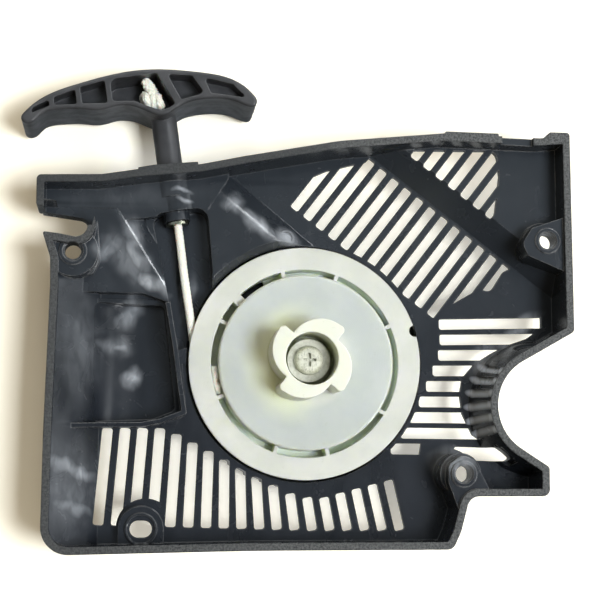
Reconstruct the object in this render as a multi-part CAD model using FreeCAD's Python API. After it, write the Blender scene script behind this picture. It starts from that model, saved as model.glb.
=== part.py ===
import FreeCAD, Part
import math
import os

# Rope-pull recoil starter of a small chainsaw engine, in millimetres.
# Origin: reel axis on the mounting plane of the cover.  +Y points away from the
# engine, +Z up towards the grip, +X to the right seen from the engine.

# ---- cover ----
WALL = 2.5                 # wall thickness of the moulded cover
FLOOR_Y = 18.0             # inside of the main face
SHELF_Y = 12.8             # inside of the shallow face beside the grip
SHELF_OUT_Y = 16.0
CORNER_Y = 10.5            # inside of the sloped-up corner face
RIDGE_Y = 12.4             # inside of the raised face left of the cord channel
WELL_R = 40.8              # round well that takes the reel
WELL_Y = 30.0
DOME_R = 43.0
LEFT_SLOPE = 88.0          # the slanted left face obeys y = x + LEFT_SLOPE inside
SLANT_SHIFT = WALL * 2.0 ** 0.5
NOTCH = (81.0, -15.1)      # axis of the concave side notch
NOTCH_R = 17.2
NOTCH_R_FLOOR = 21.6
GROOVE_SKIN = 1.3          # wall left behind the grooves around the notch
SCREW_R = 2.75             # clearance hole for an M5 screw
HEAD_R = 5.2               # screw-head pocket from outside
HEAD_Y = 9.0
SLOTTED_HOLE = (-55.5, -56.2)
SLOTTED_Y = 13.5           # seat around the slotted hole

# ---- vents ----
SLOT_LEAN = 52.5           # direction of the diagonal slots, degrees from +X
SLOT_PITCH = 5.5
SLOT_W = 3.2
SIDE_PITCH = 5.42          # horizontal slots beside the reel
SIDE_W = 3.8
BOTTOM_PITCH = 6.05        # fanned slots under the reel
BOTTOM_W = 3.6

# ---- reel ----
POST_R = 4.5
POST_END_Y = 7.0
BORE_R = 4.56
DISC_R = 30.0
DISC_Y = 12.0
FLANGE_R = 40.0
FLANGE_Y = 15.5
FLANGE_T = 1.5
BACK_FLANGE_Y = 23.4
BACK_Y = 25.0
ARC_R = 32.4               # outer edge of the arc-shaped windows
DRUM_R = 33.4
HUB_R = 7.0
CLAW_BORE_R = 8.8
CLAW_ROOT_R = 10.5
CLAW_TIP_R = 14.5
CLAW_Y = -4.5              # the claws stand proud of the mounting plane

# ---- cord and grip ----
CORD_R = 1.5
CORD_Y = 18.6              # plane in which the cord leaves the reel
PULL_R = 37.0              # radius of the turn that is being pulled off
PULL_LEAN = 8.0            # the pull line leans this far to the left of +Z
CHANNEL_TOP = 57.3         # upper end of the cord channel along the pull line
TUBE_END = 54.4            # lower end of the guide tube
STEM_R = 4.4
STEM_END = 65.0            # lower end of the grip stem along the pull line
GRIP_FRONT_Y = 6.6
GRIP_BACK_Y = 30.6
GRIP_FRONT_ROUND = 0.9
GRIP_BACK_ROUND = 1.4

LEAN = math.radians(PULL_LEAN)


def at(x, z, y):
    return FreeCAD.Vector(x, y, z)


def pull_point(u, v):
    """Plan position at distance v along the pull line and u to its right."""
    side = u - PULL_R
    x = side * math.cos(LEAN) - v * math.sin(LEAN)
    z = side * math.sin(LEAN) + v * math.cos(LEAN)
    return x, z


def polar(radius, degrees, centre=(0.0, 0.0)):
    angle = math.radians(degrees)
    return centre[0] + radius * math.cos(angle), centre[1] + radius * math.sin(angle)


def rounded_wire(corners, y):
    """Closed outline through (x, z, radius) corners."""
    edges = []
    ends = []
    for i, (x, z, radius) in enumerate(corners):
        here = at(x, z, y)
        previous = corners[i - 1]
        following = corners[(i + 1) % len(corners)]
        before = at(previous[0], previous[1], y) - here
        after = at(following[0], following[1], y) - here
        before.normalize()
        after.normalize()
        if radius <= 0.0:
            ends.append((here, here, None))
            continue
        half = before.getAngle(after) / 2.0
        run = radius / math.tan(half)
        middle = before + after
        middle.normalize()
        sagitta = radius / math.sin(half) - radius
        ends.append((here + before * run, here + after * run, here + middle * sagitta))
    for i, (start, finish, middle) in enumerate(ends):
        if middle is not None:
            edges.append(Part.Arc(start, middle, finish).toShape())
        following = ends[(i + 1) % len(ends)][0]
        if finish.distanceToPoint(following) > 1e-6:
            edges.append(Part.makeLine(finish, following))
    return Part.Wire(edges)


def plate(corners, y0, y1):
    return Part.Face(rounded_wire(corners, y0)).extrude(at(0, 0, y1 - y0))


def disc(radius, y0, y1, centre=(0.0, 0.0)):
    return Part.makeCylinder(radius, y1 - y0, at(centre[0], centre[1], y0), at(0, 0, 1))


def ring(outer, inner, y0, y1, centre=(0.0, 0.0)):
    return disc(outer, y0, y1, centre).cut(disc(inner, y0 - 1.0, y1 + 1.0, centre))


def cone(r0, r1, y0, y1, centre):
    return Part.makeCone(r0, r1, y1 - y0, at(centre[0], centre[1], y0), at(0, 0, 1))


def rod(radius, v0, v1, u=0.0, y=CORD_Y):
    """Round bar along the pull line."""
    x0, z0 = pull_point(u, v0)
    x1, z1 = pull_point(u, v1)
    start = at(x0, z0, y)
    run = at(x1, z1, y) - start
    return Part.makeCylinder(radius, run.Length, start, run)


def pull_corners(corners):
    return [pull_point(u, v) + (radius,) for u, v, radius in corners]


def fused(shapes):
    return shapes[0].multiFuse(shapes[1:])


def ridge_block(start, finish, profile, area):
    """Raised face with a rounded ridge along the line start-finish, kept inside the area.

    The profile runs from the foot of the slope over the (distance, depth, radius) corners to the
    raised face; distances count to the right of the line, seen in its direction."""
    length = math.hypot(finish[0] - start[0], finish[1] - start[1])
    along = ((finish[0] - start[0]) / length, (finish[1] - start[1]) / length)
    right = (along[1], -along[0])
    spare = 30.0
    origin = (start[0] - spare * along[0], start[1] - spare * along[1])
    block = Part.Face(rounded_wire(profile, 0.0)).extrude(at(0, 0, length + 2.0 * spare))
    place = FreeCAD.Matrix(right[0], along[0], 0.0, origin[0],
                           0.0, 0.0, 1.0, 0.0,
                           right[1], along[1], 0.0, origin[1])
    return block.transformGeometry(place).common(plate(area, 0.0, 40.0)).common(plate(OUTLINE, 0.0, 40.0))


# Outline of the cover, clockwise from the top left corner: x, z, corner radius.
OUTLINE = [
    (-91.4, 60.6, 1.5), (-70.0, 61.2, 0), (-58.0, 63.2, 0), (-37.0, 65.4, 20), (-22.0, 68.6, 20),
    (10.0, 74.6, 60), (46.0, 78.2, 0), (80.0, 77.4, 0), (90.5, 78.4, 1.5), (90.6, 10.3, 2),
    (47.7, -14.0, NOTCH_R), (81.0, -35.6, 1.5), (81.0, -45.4, 2.5), (53.6, -45.4, 4),
    (50.4, -57.0, 8), (47.6, -62.9, 3), (-20.0, -63.0, 0), (-88.0, -64.2, 9), (-87.6, -24.0, 0),
    (-86.3, 24.0, 0), (-86.5, 33.0, 4), (-89.2, 41.6, 0.6), (-84.0, 41.0, 0), (-74.4, 39.2, 4),
    (-74.4, 48.0, 3.4), (-91.4, 50.4, 0.8),
]


def shelf_area(inset):
    """Outline of the shallow face above the cord channel, drawn in along its lower and right edges."""
    return [(-97.0, 47.0 + inset, 0), (-73.5, 47.0 + inset, 0), (-61.0, 48.5 + inset, 0),
            (-55.0, 49.0 + inset, 0), (-34.0 - inset, 52.2 + inset, 0), (-27.0 - inset, 63.0, 0),
            (-24.0 - inset, 85.0, 0), (-97.0, 85.0, 0)]


def corner_band(t_low, y_low, t_high, y_high):
    """Everything outside the sloped face that closes the top right corner."""
    lean = math.radians(SLOT_LEAN)
    along = (math.cos(lean), math.sin(lean))
    side = (math.sin(lean), -math.cos(lean))
    profile = [(t_low, y_low), (t_high, y_high), (140.0, y_high - 1.0), (140.0, 60.0), (t_low, 60.0)]
    points = []
    for t, y in profile:
        points.append(at(t * along[0] - 60.0 * side[0], t * along[1] - 60.0 * side[1], y))
    face = Part.Face(Part.makePolygon(points + [points[0]]))
    return face.extrude(at(150.0 * side[0], 150.0 * side[1], 0))


def left_band(offset):
    """Everything outside the slanted left face."""
    points = [at(-100.0, -70.0, offset - 100.0), at(-60.0, -70.0, offset - 60.0), at(-60.0, -70.0, 60.0),
              at(-100.0, -70.0, 60.0)]
    return Part.Face(Part.makePolygon(points + [points[0]])).extrude(at(0, 117.0, 0))


def cover_shell():
    """Uniform wall around the outline, with the stepped and sloped faces."""
    slab_out = FLOOR_Y + WALL
    outer = plate(OUTLINE, 0.0, slab_out)
    far_edges = [e for e in outer.Edges if e.BoundBox.YMin > slab_out - 0.01]
    far_edges = [e for e in far_edges if e.CenterOfMass.x > -30.0 or e.CenterOfMass.z < -50.0]
    outer = outer.makeFillet(1.6, far_edges)
    outer = outer.cut(corner_band(74.0, slab_out, 81.5, CORNER_Y + WALL))
    outer = outer.cut(left_band(LEFT_SLOPE + SLANT_SHIFT))
    outer = outer.cut(plate(shelf_area(WALL), SHELF_OUT_Y, 40.0))
    inside_face = Part.Face(rounded_wire(OUTLINE, -1.0)).makeOffset2D(-WALL)
    void = inside_face.extrude(at(0, 0, FLOOR_Y + 1.0))
    void = void.cut(corner_band(72.6, FLOOR_Y, 80.2, CORNER_Y))
    void = void.cut(left_band(LEFT_SLOPE))
    void = void.cut(plate(shelf_area(0.0), SHELF_Y, 40.0))
    tab = plate([(-88.9, 44.0, 0), (-73.0, 44.0, 0), (-71.0, 52.0, 0), (-88.9, 52.0, 0)], -1.0, SHELF_Y)
    return outer.cut(void).cut(tab)


def ear_platform():
    """Raised seat around the upper left screw, inside the outline."""
    seat = disc(8.4, 3.0, 14.0, (-79.2, 35.6))
    low = plate([(-89.0, 43.0, 0), (-74.0, 43.0, 0), (-71.4, 47.0, 0), (-70.2, 34.0, 3), (-72.6, 28.8, 2),
                 (-79.2, 28.0, 0), (-89.0, 28.0, 0)], 9.0, 14.0)
    both = seat.fuse(low).common(plate(OUTLINE, 0.0, 20.0)).cut(left_band(LEFT_SLOPE + SLANT_SHIFT))
    return both.fuse(ring(4.6, 3.4, 2.4, 4.0, (-79.2, 35.6)))


def shelf_ramp():
    """Raised face between the upper left screw and the cord channel, rounded towards the channel."""
    profile = [(-8.0, FLOOR_Y + 1.0, 0), (-6.8, FLOOR_Y, 0), (0.0, RIDGE_Y, 4.5), (14.0, RIDGE_Y + 0.4, 10),
               (45.0, RIDGE_Y - 2.0, 0), (45.0, FLOOR_Y + 1.0, 0)]
    area = [(-90.0, 52.0, 0), (-58.0, 52.0, 0), (-40.0, 46.0, 0), (-46.2, 19.6, 0), (-55.6, 23.0, 3),
            (-90.0, 23.4, 0)]
    return ridge_block((-59.8, 44.2), (-46.4, 22.6), profile, area)


def reel_side_ramp():
    """Shelf continued down to the reel, with a rounded slope to the main face and a round pin."""
    profile = [(-1.0, FLOOR_Y + 1.0, 0), (0.0, FLOOR_Y, 0), (7.4, SHELF_Y, 7.0), (60.0, SHELF_Y + 0.6, 0),
               (60.0, FLOOR_Y + 1.0, 0)]
    area = [(-36.0, 26.0, 0), (-36.8, 61.0, 0), (-25.0, 72.0, 0), (12.0, 37.0, 0), (0.0, 26.0, 0)]
    slope = ridge_block((-25.8, 65.3), (2.7, 41.4), profile, area)
    slope = slope.cut(cone(43.8, WELL_R, SHELF_Y - 1.0, SHELF_Y + 3.2, (0.0, 0.0)))
    pin = ring(2.9, 2.0, 14.9, FLOOR_Y + 1.0, (-6.6, 43.2)).fuse(disc(2.4, 15.5, FLOOR_Y + 1.0, (-6.6, 43.2)))
    return slope.fuse(pin)


def round_boss(centre, radius, y0):
    return disc(radius, y0, FLOOR_Y + 1.0, centre)


def screw_columns():
    upper_right = plate([(77.0, 46.2, 1.0), (88.5, 50.2, 0), (88.5, 31.2, 0), (75.6, 36.6, 1.0),
                         (73.6, 40.8, 3)], 2.0, 16.0)
    lower_right = plate([(61.4, -44.6, 0.5), (55.6, -33.2, 2.5), (51.4, -31.5, 3), (46.7, -35.0, 3),
                         (46.6, -40.6, 3), (50.0, -50.0, 0.8)], 1.5, FLOOR_Y + 1.0)
    shapes = [upper_right, lower_right, round_boss((51.9, -37.9), HEAD_R + 1.9, 6.5)]
    shapes.append(round_boss(SLOTTED_HOLE, 7.6, SLOTTED_Y))
    x, z = SLOTTED_HOLE
    shapes.append(plate([(x - 7.6, z, 0), (x + 7.6, z, 0), (x + 7.6, -62.0, 0), (x - 7.6, -62.0, 0)],
                        SLOTTED_Y, FLOOR_Y + 1.0))
    shapes.append(ring(5.4, 4.7, SLOTTED_Y - 0.9, SLOTTED_Y + 1.0, SLOTTED_HOLE))
    shapes.append(disc(7.6, FLOOR_Y - 1.0, FLOOR_Y + WALL, SLOTTED_HOLE))
    shapes.append(disc(7.4, CORNER_Y - 2.0, CORNER_Y + WALL + 3.0, (82.4, 41.8)))
    for centre, seat in (((82.4, 41.8), 1.4), ((51.9, -37.9), 0.9)):
        shapes.append(ring(4.4, 3.2, seat, seat + 2.0, centre))
    inside = plate(OUTLINE, 0.0, 40.0)
    return fused(shapes).common(inside)


def notch_wall():
    """Conical wall around the side notch, flaring towards the main face."""
    depth = FLOOR_Y + WALL
    wall = cone(NOTCH_R + WALL, NOTCH_R_FLOOR + WALL, 0.0, depth, NOTCH)
    return wall.common(plate(OUTLINE, 0.0, depth))


def notch_void():
    depth = FLOOR_Y + WALL
    flare = (NOTCH_R_FLOOR - NOTCH_R) / depth
    return cone(NOTCH_R - flare, NOTCH_R_FLOOR + flare * 2.0, -1.0, depth + 2.0, NOTCH)


def notch_grooves():
    """Wedge-shaped grooves on the inside of the conical wall and a shallow strip at either end."""
    cuts = []
    inner = 17.0
    outer = 28.0
    half = 4.1
    for middle in (143.0, 155.0, 167.0, 179.0, 191.0, 203.0):
        corners = [polar(inner, middle - half, NOTCH) + (0,), polar(outer, middle - half, NOTCH) + (0,),
                   polar(outer, middle + half, NOTCH) + (0,), polar(inner, middle + half, NOTCH) + (0,)]
        cuts.append(plate(corners, 3.0, 17.0))
    cuts.append(plate([(72.0, 5.0, 0), (76.0, -3.0, 0), (88.4, 6.2, 0), (84.4, 13.0, 0)], 6.0, 14.0))
    cuts.append(plate([(64.0, -28.0, 0), (70.4, -23.6, 0), (76.0, -28.0, 0), (69.6, -36.6, 0)], 6.0, 14.0))
    depth = FLOOR_Y + WALL
    skin = cone(NOTCH_R + GROOVE_SKIN, NOTCH_R_FLOOR + GROOVE_SKIN, 0.0, depth, NOTCH)
    inside = Part.Face(rounded_wire(OUTLINE, 0.0)).makeOffset2D(-GROOVE_SKIN).extrude(at(0, 0, depth))
    return fused(cuts).cut(skin).common(inside)


def outer_bulges():
    """Dome over the reel, ridge over the cord channel and scoop at the left."""
    back = 25.5
    dome = disc(DOME_R, FLOOR_Y, WELL_Y + WALL)
    dome = dome.makeFillet(3.0, [e for e in dome.Edges if e.BoundBox.YMin > WELL_Y + WALL - 0.01])
    channel = plate(pull_corners([(-10.0, 8.0, 0), (-11.0, 60.0, 3), (13.0, 60.4, 3), (11.6, 20.0, 0),
                                  (6.0, 0.0, 0)]), FLOOR_Y - 1.0, back)
    scoop = Part.makeCylinder(22.5, 44.0, at(-57.0, -22.6, 4.0), at(0, 1, 0))
    scoop = scoop.common(plate([(-76.0, -22.6, 3), (-76.0, 21.4, 3), (-44.0, 21.4, 3), (-40.5, -19.0, 3)],
                               FLOOR_Y - 1.0, 40.0))
    return [dome, channel, scoop]


def inner_voids():
    channel = plate(pull_corners([(-6.0, 10.0, 0), (-7.4, 40.0, 8), (-8.5, CHANNEL_TOP, 4),
                                  (10.6, CHANNEL_TOP + 0.2, 4), (9.6, 36.0, 6), (6.0, 12.0, 0)]), -1.0, 23.0)
    scoop = Part.makeCylinder(20.0, 41.0, at(-57.0, -20.2, 4.0), at(0, 1, 0))
    scoop = scoop.common(plate([(-72.0, -20.2, 2), (-72.0, 20.4, 2), (-48.4, 19.2, 2), (-44.4, -16.4, 2),
                                (-52.0, -19.4, 6)], 8.0, 40.0))
    return [disc(WELL_R, -1.0, WELL_Y), channel, scoop]


def air_ribs():
    """Thin ribs that close the scoop towards the reel and the bottom slots."""
    thick = 1.6
    path = [(-47.4, 19.6), (-44.6, 3.4), (-43.2, -7.0), (-41.6, -17.4), (-49.6, -20.4), (-56.0, -21.6),
            (-74.4, -21.8), (-85.0, -22.2)]
    ribs = []
    for (x0, z0), (x1, z1) in zip(path, path[1:]):
        length = math.hypot(x1 - x0, z1 - z0)
        nx = -(z1 - z0) / length * thick / 2.0
        nz = (x1 - x0) / length * thick / 2.0
        ribs.append(plate([(x0 + nx, z0 + nz, 0), (x1 + nx, z1 + nz, 0), (x1 - nx, z1 - nz, 0),
                           (x0 - nx, z0 - nz, 0)], 9.0, FLOOR_Y + 1.0))
        ribs.append(disc(thick / 2.0, 9.0, FLOOR_Y + 1.0, (x1, z1)))
    body = fused(ribs).common(plate(OUTLINE, 0.0, 40.0))
    return body.cut([disc(WELL_R, -1.0, 40.0), left_band(LEFT_SLOPE + SLANT_SHIFT / 2.0)])


def top_edge_pads():
    """Small thickenings of the top wall and of its right corner."""
    pad = plate([(46.6, 75.6, 0), (46.6, 78.9, 0.5), (65.4, 78.6, 0.5), (65.4, 75.6, 0)], 0.0, 12.0)
    corner = plate([(80.6, 75.6, 0), (83.4, 79.6, 0.8), (90.5, 79.6, 1.2), (90.5, 75.6, 0)], 0.0, 12.0)
    seam = plate([(-58.0, 62.0, 0), (-58.0, 63.8, 0.3), (-52.8, 64.8, 0.3), (-38.0, 66.2, 0.3),
                  (-38.0, 64.0, 0)], 0.0, SHELF_OUT_Y)
    return [pad, corner, seam]


def grip_seat():
    """Boss that carries the stem and the guide tube below it."""
    boss = rod(7.4, 62.5, 71.0).fuse(rod(6.9, CHANNEL_TOP - 0.5, 63.0, 1.2, 18.4))
    keep = plate([(-60.0, 48.0, 0), (-60.0, 62.6, 0), (-38.0, 64.8, 0), (-30.0, 67.0, 0), (-30.0, 48.0, 0)],
                 SHELF_Y - 1.6, 40.0)
    return boss.common(keep)


def slot(x0, z0, x1, z1, width, radius=0.8):
    length = math.hypot(x1 - x0, z1 - z0)
    nx = -(z1 - z0) / length * width / 2.0
    nz = (x1 - x0) / length * width / 2.0
    corners = [(x0 + nx, z0 + nz, radius), (x1 + nx, z1 + nz, radius), (x1 - nx, z1 - nz, radius),
               (x0 - nx, z0 - nz, radius)]
    return plate(corners, 5.0, 40.0)


def diagonal_slots():
    """Fourteen long slots and their seven short continuations in the corner."""
    lean = math.radians(SLOT_LEAN)
    cos, sin = math.cos(lean), math.sin(lean)
    long_area = plate([(-13.0, 58.6, 2), (8.0, 68.0, 3), (22.0, 71.6, 0), (30.0, 80.0, 0), (90.0, 40.0, 0),
                       (71.0, 33.4, 3), (66.0, 25.6, 3), (62.0, 27.0, 0), (48.5, 19.2, 0), (44.0, 14.6, 0),
                       (20.0, 0.0, 0)], 4.0, 41.0)
    long_area = long_area.cut(disc(42.4, 3.0, 42.0))
    corner_area = plate([(35.0, 74.4, 0), (67.0, 74.8, 3), (68.0, 66.0, 0), (66.0, 50.0, 3),
                         (20.0, 60.0, 0)], 4.0, 41.0)
    cuts = []
    for i in range(14):
        w = -35.8 + SLOT_PITCH * i
        low, high = 40.6, 72.0
        tool = slot(low * cos + w * sin, low * sin - w * cos, high * cos + w * sin, high * sin - w * cos, SLOT_W)
        cuts.append(tool.common(long_area))
    for i in range(7):
        w = -13.6 + SLOT_PITCH * i
        low, high = 79.6, 104.0
        tool = slot(low * cos + w * sin, low * sin - w * cos, high * cos + w * sin, high * sin - w * cos, SLOT_W)
        cuts.append(tool.common(corner_area))
    return cuts


def side_slots():
    """Horizontal slots between the reel and the side notch."""
    area = plate([(20.0, 18.0, 0), (84.2, 18.0, 1), (84.2, 13.2, 1), (79.0, 9.6, 2), (72.0, 7.2, 0),
                  (66.0, 4.2, 0), (60.0, 0.4, 0), (55.6, -4.6, 0), (54.6, -10.4, 4), (55.4, -17.0, 0),
                  (59.0, -24.4, 0), (70.0, -31.6, 1.0), (70.0, -34.0, 0), (20.0, -34.0, 0)], 4.0, 41.0)
    area = area.cut(disc(42.0, 3.0, 42.0)).cut(disc(11.2, 3.0, 42.0, (49.6, -39.6)))
    lefts = (47.4, 47.6, 47.0, 45.0, 42.6, 40.0, 36.6, 33.6, 30.0)
    cuts = []
    for i, left in enumerate(lefts):
        z = 14.4 - SIDE_PITCH * i
        tool = slot(left, z - 0.2, 90.0, z + 0.9 - 0.22 * i, SIDE_W, 0.9)
        if i == 8:
            tool = tool.cut(plate([(41.0, -26.0, 0), (95.0, -26.0, 0), (95.0, -36.0, 0), (39.4, -36.0, 0)],
                                  3.0, 42.0))
        cuts.append(tool.common(area))
    beside_screw = plate([(52.3, -28.4, 0.8), (65.8, -28.8, 1.5), (70.6, -32.7, 0.8), (69.6, -33.5, 0.3),
                          (54.0, -33.0, 0), (52.3, -30.0, 0)], 4.0, 41.0)
    cuts.append(beside_screw.cut(disc(10.7, 3.0, 42.0, (49.6, -39.6))))
    return cuts


def bottom_slots():
    """Eighteen fanned slots under the reel."""
    cuts = []
    for i in range(18):
        x = -69.8 + BOTTOM_PITCH * i
        z = -55.0 - 0.17 * min(i, 12)
        lean = math.radians(-4.2 - 9.4 * math.tanh((i - 9.3) / 4.6))
        top = min(-22.4, max(-24.4 - 2.87 * (i - 4), -45.8)) + 1.45 * max(i - 13, 0)
        length = (top - z) / math.cos(lean)
        tool = slot(x, z, x + length * math.sin(lean), top, BOTTOM_W, 0.9)
        cuts.append(tool.cut(disc(42.2, 3.0, 42.0)))
    return cuts


def screw_holes():
    cuts = []
    for centre in ((-79.2, 35.6), (82.4, 41.8), (51.9, -37.9)):
        cuts.append(disc(SCREW_R, -1.0, 40.0, centre))
        cuts.append(disc(HEAD_R, HEAD_Y, 40.0, centre))
    x, z = SLOTTED_HOLE
    cuts.append(plate([(x - 3.7, z + 2.8, 2.79), (x + 3.7, z + 2.8, 2.79), (x + 3.7, z - 2.8, 2.79),
                       (x - 3.7, z - 2.8, 2.79)], -1.0, 40.0))
    cuts.append(disc(HEAD_R, SLOTTED_Y + WALL, 40.0, SLOTTED_HOLE))
    return cuts


def starter_housing():
    body = fused([cover_shell(), ear_platform(), shelf_ramp(), reel_side_ramp(), screw_columns(),
                  notch_wall(), grip_seat()] + outer_bulges() + top_edge_pads())
    rim_notch = plate([(66.6, 73.0, 0), (66.6, 82.0, 0), (77.6, 82.0, 0), (77.6, 73.0, 0)], -1.0, 2.4)
    cuts = [notch_void(), notch_grooves(), rim_notch] + inner_voids()
    body = body.cut(cuts)
    around_hole = disc(9.9, 3.0, 42.0, (-53.9, -56.0))
    body = body.cut([tool.cut(around_hole) if i < 4 else tool for i, tool in enumerate(bottom_slots())])
    body = body.cut(diagonal_slots())
    body = body.cut(side_slots())
    body = body.cut(screw_holes())
    tube = rod(4.6, TUBE_END, 64.0)
    spring_seat = ring(29.6, 28.2, 26.5, WELL_Y + 0.5)
    post = fused([disc(9.0, 27.6, WELL_Y + 0.5), disc(POST_R, POST_END_Y, WELL_Y + 0.5)])
    body = fused([body, air_ribs(), tube, post, spring_seat])
    body = body.cut([rod(STEM_R + 0.25, STEM_END - 0.3, 80.0), rod(2.6, TUBE_END - 0.5, 66.0),
                     disc(2.45, POST_END_Y - 1.0, 28.0)])
    return body


def claw(turn):
    """One hooked claw: its back climbs clockwise from root to tip."""
    root = polar(CLAW_ROOT_R, turn + 86.0)
    swell = polar(13.1, turn + 46.0)
    back = polar(CLAW_TIP_R, turn + 10.0)
    nose = polar(CLAW_TIP_R - 0.1, turn + 2.5)
    tip = polar(CLAW_TIP_R - 1.2, turn - 0.5)
    notch = polar(CLAW_ROOT_R, turn - 4.0)
    heel = polar(CLAW_BORE_R, turn - 4.0)
    crown = polar(CLAW_BORE_R, turn + 42.0)
    start = polar(CLAW_BORE_R, turn + 86.0)
    y = CLAW_Y
    edges = [
        Part.Arc(at(*root, y), at(*swell, y), at(*back, y)).toShape(),
        Part.Arc(at(*back, y), at(*nose, y), at(*tip, y)).toShape(),
        Part.Arc(at(*tip, y), at(*polar(11.9, turn - 1.4), y), at(*notch, y)).toShape(),
        Part.makeLine(at(*notch, y), at(*heel, y)),
        Part.Arc(at(*heel, y), at(*crown, y), at(*start, y)).toShape(),
        Part.makeLine(at(*start, y), at(*root, y)),
    ]
    return Part.Face(Part.Wire(edges)).extrude(at(0, 0, DISC_Y + 1.0 - y))


def arc_window(a0, a1, y0, y1):
    """Arc-shaped opening between the disc and the drum."""
    inner, outer = DISC_R, ARC_R
    mid = (a0 + a1) / 2.0
    edges = [
        Part.Arc(at(*polar(inner, a0), y0), at(*polar(inner, mid), y0), at(*polar(inner, a1), y0)).toShape(),
        Part.makeLine(at(*polar(inner, a1), y0), at(*polar(outer, a1), y0)),
        Part.Arc(at(*polar(outer, a1), y0), at(*polar(outer, mid), y0), at(*polar(outer, a0), y0)).toShape(),
        Part.makeLine(at(*polar(outer, a0), y0), at(*polar(inner, a0), y0)),
    ]
    return Part.Face(Part.Wire(edges)).extrude(at(0, 0, y1 - y0))


# Ribs that bridge the arc windows: position and half width in degrees.
REEL_RIBS = [(24.0, 1.2), (70.0, 1.2), (104.0, 1.2), (137.0, 3.2), (154.0, 1.2), (202.0, 1.2),
             (251.0, 1.2), (284.0, 1.2), (328.0, 1.2)]


def rope_reel():
    front = disc(DISC_R, DISC_Y, DISC_Y + 2.0)
    front = front.makeFillet(0.9, [e for e in front.Edges if e.BoundBox.YMax < DISC_Y + 0.01])
    cup = ring(DISC_R, 28.6, DISC_Y + 1.0, BACK_Y)
    flange = ring(FLANGE_R, 29.0, FLANGE_Y, FLANGE_Y + FLANGE_T)
    drum = ring(DRUM_R, 29.0, FLANGE_Y, BACK_Y)
    back = ring(FLANGE_R - 0.6, 29.0, BACK_FLANGE_Y, BACK_Y)
    hub = disc(HUB_R, DISC_Y, 26.6)
    hub_ring = ring(CLAW_ROOT_R, CLAW_BORE_R, CLAW_Y, DISC_Y + 1.0)
    claws = [claw(39.5 + 90.0 * i) for i in range(4)]
    body = fused([front, cup, flange, drum, back, hub, hub_ring] + claws)
    cuts = [disc(BORE_R, 0.0, 40.0)]
    edges = [(a + h, REEL_RIBS[(i + 1) % len(REEL_RIBS)]) for i, (a, h) in enumerate(REEL_RIBS)]
    for start, (rib, half) in edges:
        stop = rib - half
        if stop < start:
            stop += 360.0
        cuts.append(arc_window(start, stop, FLANGE_Y - 1.0, BACK_FLANGE_Y))
    cuts.append(arc_window(116.0, 132.0, BACK_FLANGE_Y - 1.0, BACK_Y + 1.0))
    cuts.append(disc(2.0, FLANGE_Y - 1.0, FLANGE_Y + FLANGE_T + 1.0, polar(FLANGE_R, 16.7)))
    return body.cut(cuts)


def cord_coil():
    """Wound part of the cord: two layers of two turns on the drum."""
    turns = []
    for radius in (DRUM_R + CORD_R + 0.05, PULL_R):
        for y in (CORD_Y, CORD_Y + 2.95):
            turns.append(Part.makeTorus(radius, CORD_R, at(0, 0, y), at(0, 0, 1)))
    return fused(turns)


def reel_knot():
    """Cord end lying in the window of the reel."""
    radius = (DISC_R + ARC_R) / 2.0
    a0, a1 = 184.0, 199.0
    path = Part.Wire([Part.Arc(at(*polar(radius, a0), 17.4), at(*polar(radius, (a0 + a1) / 2.0), 17.0),
                               at(*polar(radius, a1), 17.6)).toShape()])
    start = at(*polar(radius, a0), 17.4)
    tangent = path.Edges[0].tangentAt(path.Edges[0].FirstParameter)
    profile = Part.Wire([Part.makeCircle(1.1, start, tangent)])
    return path.makePipeShell([profile], True, False)


def cord_run():
    return rod(CORD_R, 15.4, STEM_END - 0.5)


def handle_cord():
    return rod(CORD_R, STEM_END + 0.4, 92.0)


def cord_eyelet():
    """Flanged metal guide in the end of the guide tube."""
    flange = rod(4.1, TUBE_END - 1.3, TUBE_END)
    flange = flange.makeFillet(0.5, flange.Edges[:1])
    barrel = rod(2.5, TUBE_END - 0.8, 61.0)
    return flange.fuse(barrel).cut(rod(CORD_R + 0.3, 50.0, 70.0))


GRIP_OUTLINE = [
    (-47.6, 95.4), (-41.4, 99.8), (-27.4, 103.9), (-6.7, 106.3), (13.6, 103.4), (25.4, 99.2), (31.2, 93.4),
    (32.0, 91.0), (30.6, 89.3), (28.4, 89.7), (25.0, 91.6), (14.7, 93.8), (6.4, 92.6), (2.3, 90.6),
    (-0.9, 89.7), (-4.0, 90.6), (-9.9, 93.8), (-16.0, 94.7), (-21.6, 93.9), (-27.0, 94.8), (-35.0, 95.6),
    (-41.4, 94.6), (-45.4, 92.0), (-47.4, 92.4), (-48.2, 93.8),
]

# Open pockets of the grip: corner positions along and across the pull line.
GRIP_POCKETS = [
    ([(-44.9, 95.2, 0.5), (-43.9, 97.2, 0.8), (-38.3, 99.3, 0.8), (-38.3, 97.0, 0.8)], 6.0),
    ([(-36.6, 97.2, 0.8), (-36.6, 99.8, 0.8), (-29.1, 101.9, 0.8), (-29.1, 96.6, 0.8)], 7.0),
    ([(-27.4, 96.6, 0.8), (-27.4, 102.4, 0.8), (-18.8, 103.9, 0.8), (-18.8, 95.9, 0.8)], 8.0),
    ([(-17.0, 96.4, 1.0), (-17.0, 104.0, 2.4), (-1.0, 104.6, 0.8), (4.1, 93.2, 0.8), (1.4, 91.9, 0.8),
      (-1.0, 91.5, 0.8), (-3.6, 92.4, 0.8), (-9.6, 95.6, 1.0)], 14.0),
    ([(2.6, 103.7, 0.8), (11.0, 102.3, 1.0), (14.1, 96.4, 0.8), (12.4, 95.4, 0.8), (6.2, 94.4, 0.6)], 8.0),
    ([(15.0, 101.2, 0.8), (24.4, 97.8, 1.0), (28.8, 92.4, 0.6), (21.6, 94.4, 0.8), (16.6, 95.6, 0.8)], 6.0),
]


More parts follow.
